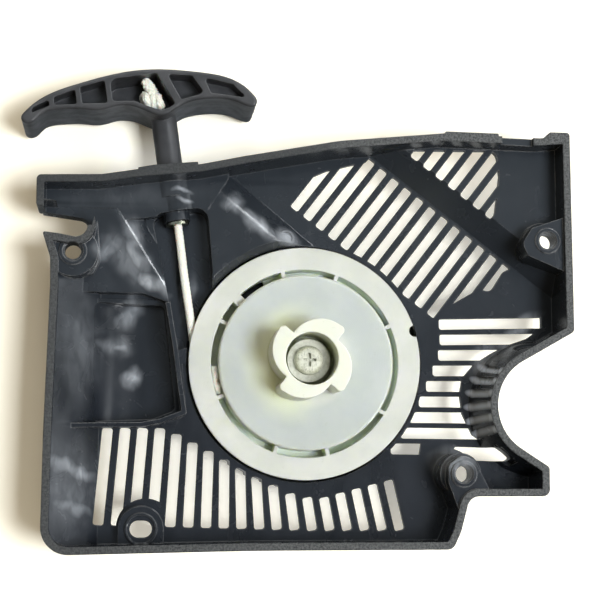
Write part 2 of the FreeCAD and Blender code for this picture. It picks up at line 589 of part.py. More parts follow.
def pull_handle():
    """Curved grip with open ribbed pockets and a hollow stem."""
    points = [at(*pull_point(u, v), GRIP_FRONT_Y) for u, v in GRIP_OUTLINE]
    curve = Part.BSplineCurve()
    curve.interpolate(points, PeriodicFlag=True)
    grip = Part.Face(Part.Wire([curve.toShape()])).extrude(at(0, 0, GRIP_BACK_Y - GRIP_FRONT_Y))
    flat_edges = [e for e in grip.Edges if e.BoundBox.YMax - e.BoundBox.YMin < 0.1]
    grip = grip.makeFillet(GRIP_BACK_ROUND, [e for e in flat_edges if e.BoundBox.YMin > GRIP_BACK_Y - 0.1])
    flat_edges = [e for e in grip.Edges if e.BoundBox.YMax < GRIP_FRONT_Y + 0.1]
    grip = grip.makeFillet(GRIP_FRONT_ROUND, flat_edges)
    stem = rod(STEM_R, STEM_END, 94.0)
    body = grip.fuse(stem)
    cuts = []
    for corners, depth in GRIP_POCKETS:
        cuts.append(plate(pull_corners(corners), GRIP_FRONT_Y - 1.0, GRIP_FRONT_Y + depth))
    cuts.append(rod(CORD_R + 0.3, STEM_END - 1.0, 94.6))
    return body.cut(cuts)


def handle_knot():
    """Overhand knot that keeps the cord in the grip."""
    lumps = []
    for u, v, y, radius in ((-1.6, 95.6, 15.4, 3.4), (-3.8, 97.4, 13.4, 2.8), (-4.4, 100.0, 12.4, 2.2),
                            (-5.0, 102.4, 11.6, 1.6)):
        x, z = pull_point(u, v)
        lumps.append(Part.makeSphere(radius, at(x, z, y)))
    return fused(lumps)


def recoil_spring():
    """Flat steel strip wound in the case, in seven and a half turns."""
    inner_r, outer_r, turns, strip = 7.9, 25.6, 7.5, 0.5
    steps = 90
    inner = []
    outer = []
    for k in range(steps + 1):
        angle = 360.0 * turns * k / steps
        radius = inner_r + (outer_r - inner_r) * k / steps
        inner.append(at(*polar(radius, angle), 18.0))
        outer.append(at(*polar(radius + strip, angle), 18.0))
    inside = Part.BSplineCurve()
    inside.interpolate(inner)
    outside = Part.BSplineCurve()
    outside.interpolate(outer)
    edges = [inside.toShape(), Part.makeLine(inner[-1], outer[-1]), outside.toShape(),
             Part.makeLine(outer[0], inner[0])]
    return Part.Face(Part.Wire(edges)).extrude(at(0, 0, 8.0))


def spring_case():
    """Shallow cup that holds the spring against the cover."""
    return fused([ring(27.8, 26.6, 16.6, 29.9), ring(27.8, 9.3, 28.7, 29.9)])


def reel_screw():
    """Pan-head screw with a cross recess."""
    seat = POST_END_Y - 1.3
    head = disc(4.9, seat - 3.2, seat)
    head = head.makeFillet(1.8, [e for e in head.Edges if e.BoundBox.YMax < seat - 3.1])
    shank = disc(2.4, seat - 0.5, 26.0)
    recess = fused([Part.makeBox(4.4, 2.2, 1.0, at(-2.2, -0.5, seat - 3.4)),
                    Part.makeBox(1.0, 2.2, 4.4, at(-0.5, -2.2, seat - 3.4))])
    return head.fuse(shank).cut(recess)


def reel_washer():
    return ring(7.25, 2.7, POST_END_Y - 1.3, POST_END_Y - 0.05)


PIECES = {
    "starter_housing": starter_housing,
    "rope_reel": rope_reel,
    "cord_coil": cord_coil,
    "reel_knot": reel_knot,
    "cord_run": cord_run,
    "handle_cord": handle_cord,
    "cord_eyelet": cord_eyelet,
    "pull_handle": pull_handle,
    "handle_knot": handle_knot,
    "recoil_spring": recoil_spring,
    "spring_case": spring_case,
    "reel_screw": reel_screw,
    "reel_washer": reel_washer,
}

os.makedirs("parts", exist_ok=True)
for name, make in PIECES.items():
    shape = make()
    if len(shape.Solids) == 1:
        shape = shape.Solids[0]
    print(name, shape.ShapeType, len(shape.Solids), shape.isValid(), round(shape.Volume / 1000.0, 3), "cm3")
    shape.exportStep("parts/" + name + ".step")
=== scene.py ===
"""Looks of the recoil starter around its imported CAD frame.

Metres, in the CAD frame: the reel axis is Y, +Z is up and -Y faces the engine.
"""
import math

import bpy
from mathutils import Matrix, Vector, noise


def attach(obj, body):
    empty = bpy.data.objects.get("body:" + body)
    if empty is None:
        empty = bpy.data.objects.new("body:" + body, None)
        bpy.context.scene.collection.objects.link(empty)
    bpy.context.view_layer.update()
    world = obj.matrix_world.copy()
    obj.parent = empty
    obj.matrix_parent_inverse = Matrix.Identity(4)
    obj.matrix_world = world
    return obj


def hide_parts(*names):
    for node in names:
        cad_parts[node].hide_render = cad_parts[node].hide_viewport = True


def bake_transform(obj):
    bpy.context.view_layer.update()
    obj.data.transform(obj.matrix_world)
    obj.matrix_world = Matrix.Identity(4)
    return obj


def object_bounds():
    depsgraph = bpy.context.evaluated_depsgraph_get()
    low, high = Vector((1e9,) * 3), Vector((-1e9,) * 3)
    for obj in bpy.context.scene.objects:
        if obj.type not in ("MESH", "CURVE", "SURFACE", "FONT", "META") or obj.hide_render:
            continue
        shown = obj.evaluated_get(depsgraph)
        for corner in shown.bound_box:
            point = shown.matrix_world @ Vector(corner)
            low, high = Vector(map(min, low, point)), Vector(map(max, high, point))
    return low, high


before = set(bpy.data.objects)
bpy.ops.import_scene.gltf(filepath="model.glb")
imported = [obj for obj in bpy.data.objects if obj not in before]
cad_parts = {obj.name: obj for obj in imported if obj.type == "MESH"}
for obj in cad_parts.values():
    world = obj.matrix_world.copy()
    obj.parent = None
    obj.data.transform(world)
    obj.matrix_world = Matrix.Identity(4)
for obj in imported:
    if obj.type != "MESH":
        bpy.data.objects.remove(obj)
cad_low, cad_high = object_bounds()

MM = 0.001
LEAN = math.radians(8.0)      # lean of the pull line to the left of +Z
PULL_R = 37.0                 # distance of the pull line from the reel axis
PULL_LENGTH = 900.0           # travel of the grip
CORD_R = 1.5
CORD_Y = 18.6                 # the cord leaves the reel this far behind the joint plane
INNER_TURN_R = 34.9           # the first turns on the drum; the last ones are at PULL_R
STRANDS = 8                   # strands of one braid direction round the cord
BRAID_LEAD = 12.0             # length in which a strand goes once round


def clamp(value):
    return min(max(value, 0.0), 1.0)


def ease(t):
    """0 to 1 with a soft start and end."""
    return t * t * (3.0 - 2.0 * t)


# ---------------------------------------------------------------- node trees
class Nodes:
    """A node tree that is built node by node."""

    def __init__(self, tree):
        self.tree = tree
        self.tree.nodes.clear()

    def add(self, kind, settings=None, inputs=None):
        made = self.tree.nodes.new("ShaderNode" + kind)
        for key, value in (settings or {}).items():
            setattr(made, key, value)
        for key, value in (inputs or {}).items():
            self.feed(made.inputs[key], value)
        return made

    def feed(self, socket, value):
        """Links an output to the socket, or sets the socket to a plain value."""
        if isinstance(value, bpy.types.NodeSocket):
            self.tree.links.new(value, socket)
        elif isinstance(value, tuple) and len(value) == 3 and socket.type == "RGBA":
            socket.default_value = value + (1.0,)
        else:
            socket.default_value = value


class Shader(Nodes):
    """One procedural material.  Positions and sizes are in millimetres."""

    def __init__(self, name):
        self.material = bpy.data.materials.new(name)
        self.material.use_nodes = True
        super().__init__(self.material.node_tree)
        self.mm = self.vector("SCALE", self.add("TexCoord").outputs["Object"], 1.0 / MM)
        self.x, self.y, self.z = self.add("SeparateXYZ", {}, {0: self.mm}).outputs
        self.bent = None

    def vector(self, operation, a, b):
        """Vector arithmetic; for SCALE, b is the factor."""
        second = "Scale" if operation == "SCALE" else 1
        return self.add("VectorMath", {"operation": operation}, {0: a, second: b}).outputs[0]

    def math(self, operation, a, b=0.0):
        return self.add("Math", {"operation": operation}, {0: a, 1: b}).outputs[0]

    def times(self, a, b):
        return self.math("MULTIPLY", a, b)

    def remap(self, value, low, high, out_low=0.0, out_high=1.0):
        """Smooth step of the value from low to high."""
        inputs = {"Value": value, "From Min": low, "From Max": high, "To Min": out_low, "To Max": out_high}
        return self.add("MapRange", {"interpolation_type": "SMOOTHSTEP"}, inputs).outputs[0]

    def blend(self, factor, a, b):
        """Colour a where the factor is 0, colour b where it is 1."""
        return self.add("Mix", {"data_type": "RGBA"}, {0: factor, 6: a, 7: b}).outputs[2]

    def noise(self, size, detail=3.0, rough=0.5, stretch=None, distortion=0.0):
        """Noise between 0 and 1 with features of the given size."""
        where = self.vector("MULTIPLY", self.mm, stretch) if stretch else self.mm
        inputs = {"Vector": where, "Scale": 1.0 / size, "Detail": detail}
        inputs.update({"Roughness": rough, "Distortion": distortion})
        return self.add("TexNoise", {}, inputs).outputs["Fac"]

    def radius(self):
        """Distance from the reel axis."""
        square = self.math("ADD", self.times(self.x, self.x), self.times(self.z, self.z))
        return self.math("SQRT", square)

    def patch(self, low, high, soft):
        """Mask that is 1 inside an (x, z) rectangle and fades out over a soft border."""
        sides = (
            (self.x, low[0], -soft),
            (self.x, high[0], soft),
            (self.z, low[1], -soft),
            (self.z, high[1], soft),
        )
        mask = 1.0
        for value, edge, away in sides:
            mask = self.times(mask, self.remap(value, edge + away, edge))
        return mask

    def warped(self):
        """Position pushed a few millimetres about by noise, so that masks get uneven borders."""
        if self.bent is None:
            push_by = 9.0
            inputs = {"Vector": self.mm, "Scale": 0.11, "Detail": 1.5, "Roughness": 0.5}
            drift = self.add("TexNoise", {}, inputs).outputs["Color"]
            push = self.vector("SUBTRACT", drift, (0.5, 0.5, 0.5))
            self.bent = self.vector("ADD", self.mm, self.vector("SCALE", push, push_by))
        return self.bent

    def blotch(self, centre, reach, turn=0.0, uneven=True):
        """Mask that fades from 1 at an (x, z) centre to 0 at its elliptic reach.

        The ellipse is turned from +X towards +Z and is the same at every depth.
        """
        every_depth = 1000.0
        placing = {
            "Vector": self.warped() if uneven else self.mm,
            "Location": (centre[0], 0.0, centre[1]),
            "Rotation": (0.0, -math.radians(turn), 0.0),
            "Scale": (reach[0], every_depth, reach[1]),
        }
        placed = self.add("Mapping", {"vector_type": "TEXTURE"}, placing).outputs[0]
        glow = self.add("TexGradient", {"gradient_type": "SPHERICAL"}, {"Vector": placed})
        return self.remap(glow.outputs["Fac"], 0.0, 1.0)

    def facing(self):
        """How much the surface faces away from the engine, from -1 to 1."""
        normal = self.add("NewGeometry").outputs["Normal"]
        return self.add("SeparateXYZ", {}, {0: normal}).outputs[1]

    def rounded(self, size):
        """Surface normal that rounds over sharp edges."""
        return self.add("Bevel", {"samples": 6}, {"Radius": size * MM}).outputs[0]

    def edges(self, rounded):
        """Mask of the sharp edges, where the rounded normal leaves the plain one."""
        plain = self.add("NewGeometry").outputs["Normal"]
        both = {0: rounded, 1: plain}
        agreement = self.add("VectorMath", {"operation": "DOT_PRODUCT"}, both).outputs["Value"]
        return self.remap(agreement, 0.995, 0.82)

    def bump(self, height, distance, strength=1.0, normal=None):
        inputs = {"Height": height, "Distance": distance * MM, "Strength": strength}
        if normal:
            inputs["Normal"] = normal
        return self.add("Bump", {}, inputs).outputs[0]

    def finish(self, **inputs):
        """The material, with the given inputs of its surface."""
        names = {key.replace("_", " "): value for key, value in inputs.items()}
        skin = self.add("BsdfPrincipled", {}, names)
        self.add("OutputMaterial", {}, {0: skin.outputs[0]})
        return self.material


# ---------------------------------------------------------------- materials
# Painted reflections, pale streaky blotches standing in for highlights on the glossy cover: centre, reach,
# turn and strength.
PAINTED_REFLECTIONS = [
    ((-60.0, 34.0), (15.0, 8.0), -58.0, 0.34), ((-57.5, 36.5), (11.0, 3.4), -60.0, 0.75),
    ((-52.0, 26.5), (9.0, 4.0), -45.0, 1.0), ((-60.0, 45.0), (8.0, 5.0), -70.0, 0.50),
    ((-67.5, 38.5), (9.0, 5.0), 30.0, 0.55), ((-59.5, 17.0), (8.0, 5.5), 70.0, 0.70),
    ((-65.0, 5.5), (9.0, 5.5), 0.0, 0.55), ((-63.5, 4.6), (4.0, 3.0), 0.0, 1.0),
    ((-58.2, -5.7), (5.0, 5.0), 20.0, 1.0), ((-76.0, 4.0), (9.0, 26.0), 0.0, 0.22),
    ((-77.5, -36.5), (12.0, 3.4), -22.0, 0.75), ((-78.0, -49.5), (11.0, 3.4), -22.0, 0.50),
    ((-79.0, -43.0), (13.0, 22.0), 0.0, 0.26),
    ((-25.3, 54.5), (6.0, 5.0), -30.0, 0.80), ((-16.0, 46.8), (11.0, 4.0), -42.0, 0.95),
    ((-5.5, 43.2), (6.0, 4.0), -20.0, 1.0), ((-62.0, 56.6), (34.0, 8.0), 5.0, 0.10),
    ((-40.5, 24.0), (3.0, 12.0), -8.0, 0.30), ((-43.5, 58.0), (5.0, 1.6), -8.0, 0.85),
    ((-42.0, 54.0), (4.5, 1.4), -8.0, 0.85), ((50.0, -34.0), (9.0, 7.0), 0.0, 0.45),
    ((75.0, 12.0), (14.0, 4.0), 38.0, 0.60), ((64.0, 2.0), (10.0, 6.0), 40.0, 0.55),
]
PAINTED_REFLECTION_COLOUR = (0.270, 0.295, 0.330)

NOTCH = (81.0, -15.1)         # (x, z) of the side notch's axis, which its grooves fan out from
GROOVES = [143.0 + 12.0 * k for k in range(6)]
GROOVE_R = 21.3               # the painted light on the grooves centres on this radius
GROOVE_REACH = (4.2, 1.7)
GROOVE_LIGHT_COLOUR = (0.58, 0.66, 0.80)


def painted_reflection_mask(s, engine_side):
    """Where the painted reflections lie, streaky, on the engine side only."""
    mask = 0.0
    for centre, reach, turn, strength in PAINTED_REFLECTIONS:
        mask = s.math("MAXIMUM", mask, s.times(s.blotch(centre, reach, turn), strength))
    streaks = s.remap(s.noise(3.6, 2.5, 0.5, (1.0, 1.0, 0.55), 0.6), 0.28, 0.68, 0.45, 1.0)
    return s.times(s.times(mask, engine_side), streaks)


def groove_light_mask(s, engine_side):
    """Painted light on the grooves that fan out around the side notch."""
    mask = 0.0
    for degrees in GROOVES:
        angle = math.radians(degrees)
        centre = (NOTCH[0] + GROOVE_R * math.cos(angle), NOTCH[1] + GROOVE_R * math.sin(angle))
        mask = s.math("MAXIMUM", mask, s.blotch(centre, GROOVE_REACH, degrees, False))
    return s.times(s.times(s.math("SQRT", mask), engine_side), 0.85)


def joint_edge_colour(s):
    """Pale speckle on black; painted shade makes it fainter to the left and darker along the top."""
    black = (0.010, 0.012, 0.014)
    speckle = s.remap(s.noise(0.75, 3.0, 0.75), 0.34, 0.66)
    # Painted shade: the speckle fades to the left.
    speckle = s.times(speckle, s.remap(s.x, -95.0, 30.0, 0.62, 1.0))
    colour = s.blend(speckle, black, (0.082, 0.087, 0.090))
    # Painted shade: darker along the top.
    shaded_top = s.patch((-95.0, 56.0), (4.0, 90.0), 8.0)
    return s.blend(s.times(shaded_top, 0.55), colour, (0.012, 0.014, 0.016))


def cover_colour(s, edges, rim):
    """Blue-black plastic, lighter towards the top, with scuffs, worn edges, painted reflections, painted
    light on the grooves and the speckled joint edge.
    """
    grey = (0.15, 0.155, 0.16)
    scuffs = s.noise(3.0, 5.0, 0.75, (1.0, 1.0, 0.4))
    flow = s.remap(s.noise(26.0, 2.0, 0.5, (1.0, 1.0, 0.6), 1.5), 0.35, 0.65)
    colour = s.blend(flow, (0.0072, 0.0090, 0.0125), (0.0115, 0.0140, 0.0188))
    colour = s.blend(s.remap(s.z, -40.0, 75.0, 0.0, 0.55), colour, (0.022, 0.027, 0.033))
    colour = s.blend(s.remap(scuffs, 0.50, 0.80, 0.0, 0.35), colour, (0.022, 0.026, 0.030))
    worn = s.times(edges, s.remap(scuffs, 0.30, 0.62))
    worn = s.times(worn, s.remap(s.y, 13.0, 9.5, 0.30, 0.90))
    colour = s.blend(worn, colour, grey)
    engine_side = s.remap(s.facing(), 0.30, -0.10)
    # Painted reflections: pale streaky blotches on the engine side.
    colour = s.blend(painted_reflection_mask(s, engine_side), colour, PAINTED_REFLECTION_COLOUR)
    # Painted light: pale patches on the grooves round the side notch.
    colour = s.blend(groove_light_mask(s, engine_side), colour, GROOVE_LIGHT_COLOUR)
    return s.blend(rim, colour, joint_edge_colour(s))


def cover_relief(s, normal, outer_side):
    """Waves of the moulded skin on two raised faces; a texture on the outer side."""
    left_face = s.patch((-100.0, -20.0), (-45.0, 52.0), 3.0)
    reel_side = s.patch((-32.0, 38.0), (0.0, 61.0), 4.0)
    depth = s.remap(s.math("MAXIMUM", left_face, reel_side), 0.0, 1.0, 0.03, 0.38)
    waves = s.bump(s.times(s.noise(11.0, 1.2, 0.45), depth), 1.0, 1.0, normal)
    grain = s.times(s.noise(0.35, 2.0, 0.7), 0.10)
    texture = s.times(s.noise(0.7, 2.0, 0.6), s.remap(outer_side, 0.0, 1.0, 0.02, 1.0))
    return s.bump(s.math("ADD", grain, texture), 0.05, 0.5, waves)


def cover_plastic():
    """Black moulded plastic: glossy on the engine side, duller on the outside and the joint edge."""
    s = Shader("cover_plastic")
    normal = s.rounded(0.6)
    rim = s.remap(s.y, 0.45, 0.12)
    outer_side = s.remap(s.facing(), 0.15, 0.60)
    rough = s.remap(s.noise(11.0, 3.0, 0.6, None, 0.8), 0.30, 0.70, 0.19, 0.29)
    rough = s.math("ADD", rough, s.times(rim, 0.40))
    rough = s.math("ADD", rough, s.times(outer_side, 0.20))
    return s.finish(Base_Color=cover_colour(s, s.edges(normal), rim), Roughness=rough,
                    Normal=cover_relief(s, normal, outer_side), Specular_IOR_Level=0.38)


def grip_plastic():
    """Grip plastic: a little lighter and duller, polished on the edges by the hand."""
    s = Shader("grip_plastic")
    normal = s.rounded(0.7)
    cloud = s.remap(s.noise(9.0, 3.0, 0.6), 0.35, 0.65)
    colour = s.blend(cloud, (0.0240, 0.0255, 0.0285), (0.0370, 0.0385, 0.0425))
    worn = s.times(s.edges(normal), s.remap(s.noise(2.2, 4.0, 0.7), 0.30, 0.60, 0.3, 1.0))
    colour = s.blend(s.times(worn, 0.6), colour, (0.085, 0.090, 0.098))
    rough = s.remap(s.noise(5.0, 3.0, 0.6), 0.3, 0.7, 0.30, 0.44)
    fine = s.bump(s.noise(0.45, 2.0, 0.6), 0.01, 0.5, normal)
    return s.finish(Base_Color=colour, Roughness=rough, Normal=fine, Specular_IOR_Level=0.4)


def reel_colour(s):
    """Milky nylon, bluish on the thin disc; painted shade makes it green in the window ring, where the
    claws shade the disc and in the bore.
    """
    radius = s.radius()
    cloud = s.remap(s.noise(14.0, 3.0, 0.55), 0.35, 0.65)
    milk = s.blend(cloud, (0.445, 0.475, 0.450), (0.495, 0.52, 0.500))
    disc = s.blend(cloud, (0.365, 0.405, 0.405), (0.395, 0.435, 0.435))
    on_disc = s.times(s.remap(radius, 29.9, 29.4), s.remap(radius, 13.5, 17.0))
    colour = s.blend(on_disc, milk, disc)
    # Painted shade colour: the pale green of deep nylon in shade, in the window ring.
    shaded_window_ring = s.times(s.remap(s.y, 15.9, 17.6), s.remap(radius, 33.2, 32.8))
    colour = s.blend(shaded_window_ring, colour, (0.62, 0.70, 0.59))
    claws = s.remap(s.y, 9.0, 6.0)
    colour = s.blend(claws, colour, (0.55, 0.585, 0.53))
    # Painted shadow: a yellow-green glow where the claws shade the disc, mostly to their left.
    root = s.times(s.remap(radius, 24.0, 13.0), s.remap(s.y, 9.0, 12.0))
    root = s.times(root, s.remap(s.x, 5.0, -9.0, 0.08, 1.0))
    colour = s.blend(s.times(root, 0.8), colour, (0.62, 0.68, 0.48))
    # Painted shade: darker olive inside the bore.
    bore = s.times(s.remap(radius, 9.4, 8.9), s.remap(s.y, -2.0, 7.0))
    colour = s.blend(s.times(bore, 0.75), colour, (0.36, 0.40, 0.25))
    dirt = s.times(s.remap(s.noise(1.8, 5.0, 0.7), 0.60, 0.75), 0.25)
    return s.blend(dirt, colour, (0.30, 0.32, 0.26))


def reel_nylon():
    """Natural nylon, translucent, with faint rings round the reel axis."""
    s = Shader("reel_nylon")
    kind = {"wave_type": "RINGS", "rings_direction": "Y", "wave_profile": "SIN"}
    spacing = {"Vector": s.mm, "Scale": 0.55, "Distortion": 0.4, "Detail": 2.0}
    rings = s.add("TexWave", kind, spacing).outputs["Fac"]
    fine = s.bump(s.noise(0.8, 3.0, 0.6), 0.02, 0.5, s.bump(rings, 0.012, 0.5, s.rounded(0.5)))
    rough = s.remap(s.noise(6.0, 3.0, 0.6), 0.3, 0.7, 0.30, 0.44)
    return s.finish(Base_Color=reel_colour(s), Roughness=rough, Normal=fine, Subsurface_Weight=0.75,
                    Subsurface_Radius=(1.0, 1.0, 0.65), Subsurface_Scale=0.0040, IOR=1.53)


def cord_fibre():
    """Braided polyester: bright strands, faint dirt between them."""
    s = Shader("cord")
    fibre = s.noise(0.16, 2.0, 0.6, (1.0, 1.0, 0.35))
    cloud = s.noise(5.0, 3.0, 0.6)
    colour = s.blend(s.remap(fibre, 0.3, 0.7), (0.57, 0.58, 0.54), (0.76, 0.77, 0.72))
    colour = s.blend(s.remap(cloud, 0.50, 0.75, 0.0, 0.30), colour, (0.52, 0.50, 0.44))
    rough = s.remap(cloud, 0.3, 0.7, 0.62, 0.82)
    return s.finish(Base_Color=colour, Roughness=rough, Normal=s.bump(fibre, 0.05, 0.7),
                    Sheen_Weight=0.35, Sheen_Roughness=0.5, Subsurface_Weight=0.15,
                    Subsurface_Scale=0.0008)


def metal(name, colour, tarnish, rough_low, rough_high, scratch_size, shine=1.0):
    """Plated steel, scratched and blotchy; the plating is milky where shine is low."""
    s = Shader(name)
    tone = s.blend(s.remap(s.noise(1.6, 4.0, 0.65), 0.4, 0.7), colour, tarnish)
    scratch = s.noise(scratch_size, 4.0, 0.7, (1.0, 1.0, 0.12))
    rough = s.remap(scratch, 0.3, 0.7, rough_low, rough_high)
    fine = s.bump(scratch, 0.02, 0.6, s.rounded(0.15))
    return s.finish(Base_Color=tone, Metallic=shine, Roughness=rough, Normal=fine)


def case_plastic():
    """Grey-black moulded cup behind the reel."""
    s = Shader("case_plastic")
    normal = s.rounded(0.3)
    cloud = s.noise(6.0, 3.0, 0.6)
    colour = s.blend(s.remap(cloud, 0.35, 0.65), (0.035, 0.036, 0.036), (0.060, 0.061, 0.060))
    colour = s.blend(s.times(s.edges(normal), 0.5), colour, (0.14, 0.14, 0.14))
    rough = s.remap(cloud, 0.3, 0.7, 0.42, 0.60)
    return s.finish(Base_Color=colour, Roughness=rough,
                    Normal=s.bump(s.noise(0.4, 2.0, 0.6), 0.04, 0.5, normal))


def stage_paper(name, colour, mirrored, glow, low, high, soft):
    """Plain paper with its own colour in reflections; an (x, z) part of it glows a little."""
    s = Shader(name)
    darker = tuple(c * 0.98 for c in colour)
    tint = s.blend(s.remap(s.noise(160.0, 2.0, 0.5), 0.3, 0.7), colour, darker)
    tint = s.blend(s.add("LightPath").outputs["Is Glossy Ray"], tint, mirrored)
    fine = s.bump(s.noise(0.6, 2.0, 0.6), 0.02, 0.3)
    lit = s.times(s.patch(low, high, soft), glow)
    return s.finish(Base_Color=tint, Roughness=0.85, Normal=fine, Specular_IOR_Level=0.1,
                    Emission_Color=(0.98, 0.99, 0.95), Emission_Strength=lit)


# ---------------------------------------------------------------- cord pieces
def pull_point(u, v, y=CORD_Y):
    """Point at distance v along the pull line, u to its right, in metres."""
    side = u - PULL_R
    x = side * math.cos(LEAN) - v * math.sin(LEAN)
    z = side * math.sin(LEAN) + v * math.cos(LEAN)
    return Vector((x, y, z)) * MM


def reel_point(angle, radius, y):
    """Point around the reel axis, in metres."""
    return Vector((radius * math.cos(angle), y, radius * math.sin(angle))) * MM


def smooth_path(points, step):
    """Points every step along a smooth curve through the given ones."""
    ends = [points[0] * 2 - points[1]] + points + [points[-1] * 2 - points[-2]]
    path = []
    for a, b, c, d in zip(ends, ends[1:], ends[2:], ends[3:]):
        count = max(2, round((c - b).length / step))
        for k in range(count):
            t = k / count
            slope = (c - a) * t
            curve = (2 * a - 5 * b + 4 * c - d) * t * t
            twist = (3 * b - a - 3 * c + d) * t * t * t
            path.append(0.5 * (2 * b + slope + curve + twist))
    path.append(points[-1].copy())
    return path


def braid_height(turn, along):
    """Height of the braid's surface, 0 to 1, at a share of a turn and a length in millimetres."""
    u = STRANDS * (turn + along / BRAID_LEAD)
    v = STRANDS * (turn - along / BRAID_LEAD)
    across, lengthwise = u % 1.0, v % 1.0
    if (math.floor(u) + math.floor(v)) % 2:
        across, lengthwise = lengthwise, across
    crown = math.sqrt(max(math.sin(math.pi * across), 0.0))
    return crown * (0.35 + 0.65 * math.sin(math.pi * lengthwise))


def new_object(name, verts, faces):
    mesh = bpy.data.meshes.new(name)
    mesh.from_pydata(verts, [], faces)
    mesh.update()
    made = bpy.data.objects.new(name, mesh)
    bpy.context.scene.collection.objects.link(made)
    return made


def tube_faces(rings, around):
    """Quads between rings of vertices that follow each other in one list."""
    faces = []
    for i in range(rings - 1):
        for j in range(around):
            k = (j + 1) % around
            low, high = i * around, (i + 1) * around
            faces.append((low + j, low + k, high + k, high + j))
    return faces


def close_end(verts, faces, path, tangents, around, ring, outward):
    """Bulged cap on a ring; outward is -1 at the start of the tube and 1 at its end."""
    middle = len(verts)
    verts.append(path[ring] + tangents[ring] * outward * 0.5 * CORD_R * MM)
    for j in range(around):
        pair = [ring * around + j, ring * around + (j + 1) % around]
        if outward < 0:
            pair.reverse()
        faces.append((middle, *pair))


def braid(name, path, around, relief=0.26, swell=None, braid_length=None, fuzz=0.0):
    """Closed tube along a path whose surface is a braid.  Sizes in millimetres, path in metres.

    swell gives the size at a share of the path, braid_length the length of cord at a ring.
    """
    last = len(path) - 1
    lengths = [0.0]
    for a, b in zip(path, path[1:]):
        lengths.append(lengths[-1] + (b - a).length / MM)
    tangents = [(path[min(i + 1, last)] - path[max(i - 1, 0)]).normalized() for i in range(last + 1)]
    side = tangents[0].orthogonal().normalized()
    verts = []
    for i, centre in enumerate(path):
        side = (side - tangents[i] * side.dot(tangents[i])).normalized()
        other = tangents[i].cross(side)
        along = braid_length(i) if braid_length else lengths[i]
        size = CORD_R * (swell(i / last) if swell else 1.0)
        for j in range(around):
            turn = j / around
            angle = 2.0 * math.pi * turn
            out = side * math.cos(angle) + other * math.sin(angle)
            spot = centre + out * (size - relief + relief * braid_height(turn, along)) * MM
            if fuzz:
                spot += out * noise.noise(spot * 900.0) * fuzz * MM
            verts.append(spot)
    faces = tube_faces(last + 1, around)
    close_end(verts, faces, path, tangents, around, 0, -1)
    close_end(verts, faces, path, tangents, around, last, 1)
    piece = new_object(name, verts, faces)
    piece.data.polygons.foreach_set("use_smooth", [True] * len(faces))
    return piece


def cord_run():
    """Straight cord from the drum to the guide in the cover, very slightly wavy."""
    stations = [(0.0, -1.0), (0.10, 16.0), (-0.08, 34.0), (0.05, 48.0), (0.0, 59.0)]
    points = [pull_point(u, v) for u, v in stations]
    return braid("cord_run_braid", smooth_path(points, 0.25 * MM), 48)


def stretch_cord():
    """Cord between the cover and the grip, hidden at rest; its braid is spaced for the cord drawn out over
    the grip's travel.
    """
    low = 58.4
    high = 68.0
    rings = 2400
    path = [pull_point(0.0, low + (high - low) * i / rings) for i in range(rings + 1)]

    def drawn(i):
        t = i / rings
        return (high - low) * t + PULL_LENGTH * ease(t)

    piece = braid("cord_stretch_braid", path, 16, braid_length=drawn)
    return piece, pull_point(0.0, low), pull_point(0.0, high)


def grip_cord():
    """Cord in the hollow stem, up to the knot."""
    return braid("cord_stem_braid", [pull_point(0.0, 67.0 + 0.3 * i) for i in range(84)], 24)


def coil():
    """Two layers of cord on the drum, ending where the cord leaves it."""
    turns = 3.9
    climb_start = 1.55
    climb_length = 0.8
    row_pitch = 2.95
    steps = 1500
    path = []
    for i in range(steps + 1):
        t = turns * i / steps
        climb = ease(clamp((t - climb_start) / climb_length))
        row = clamp(min(t, turns - t))
        radius = INNER_TURN_R + (PULL_R - INNER_TURN_R) * climb
        angle = math.radians(180.0 + 360.0 * (t - turns)) + LEAN
        path.append(reel_point(angle, radius, CORD_Y + row_pitch * row))
    return braid("cord_coil_braid", path, 24)


def reel_cord_end():
    """Folded cord end that shows in the window ring."""
    stations = [(183.0, 31.3, 18.4), (185.5, 31.2, 17.6), (189.0, 31.0, 17.1),
                (192.5, 31.4, 17.5), (196.0, 31.0, 17.2), (199.0, 31.2, 18.2)]
    points = [reel_point(math.radians(degrees), radius, y) for degrees, radius, y in stations]
    path = smooth_path(points, 0.15 * MM)
    return braid("cord_end_braid", path, 32, swell=lambda t: 0.78, fuzz=0.25)


def grip_knot():
    """Knot in the middle pocket of the grip: cord wound side by side, with a thick frayed tail."""
    turns = 2.6
    steps = 20
    stations = [(0.0, 92.2, 18.6), (-1.4, 94.6, 18.6), (-4.4, 96.6, 18.0)]
    for k in range(steps + 1):
        share = k / steps
        angle = math.radians(100.0 + 360.0 * turns * share)
        size = 1.55 + 0.75 * share
        along = 97.8 - 1.9 * share - size * math.cos(angle)
        stations.append((-6.2 + 5.5 * share, along, 15.0 + size * math.sin(angle)))
    stations += [(-1.6, 98.2, 16.4), (-2.6, 99.6, 14.6), (-3.5, 101.0, 13.2),
                 (-4.6, 102.6, 12.4), (-5.4, 103.7, 12.2)]
    path = smooth_path([pull_point(*station) for station in stations], 0.2 * MM)

    def swell(t):
        frayed = clamp((t - 0.84) / 0.06)
        tip = clamp((t - 0.97) / 0.03)
        return 1.0 + 0.30 * frayed - 0.25 * tip

    return braid("grip_knot_braid", path, 40, relief=0.46, swell=swell, fuzz=0.40)


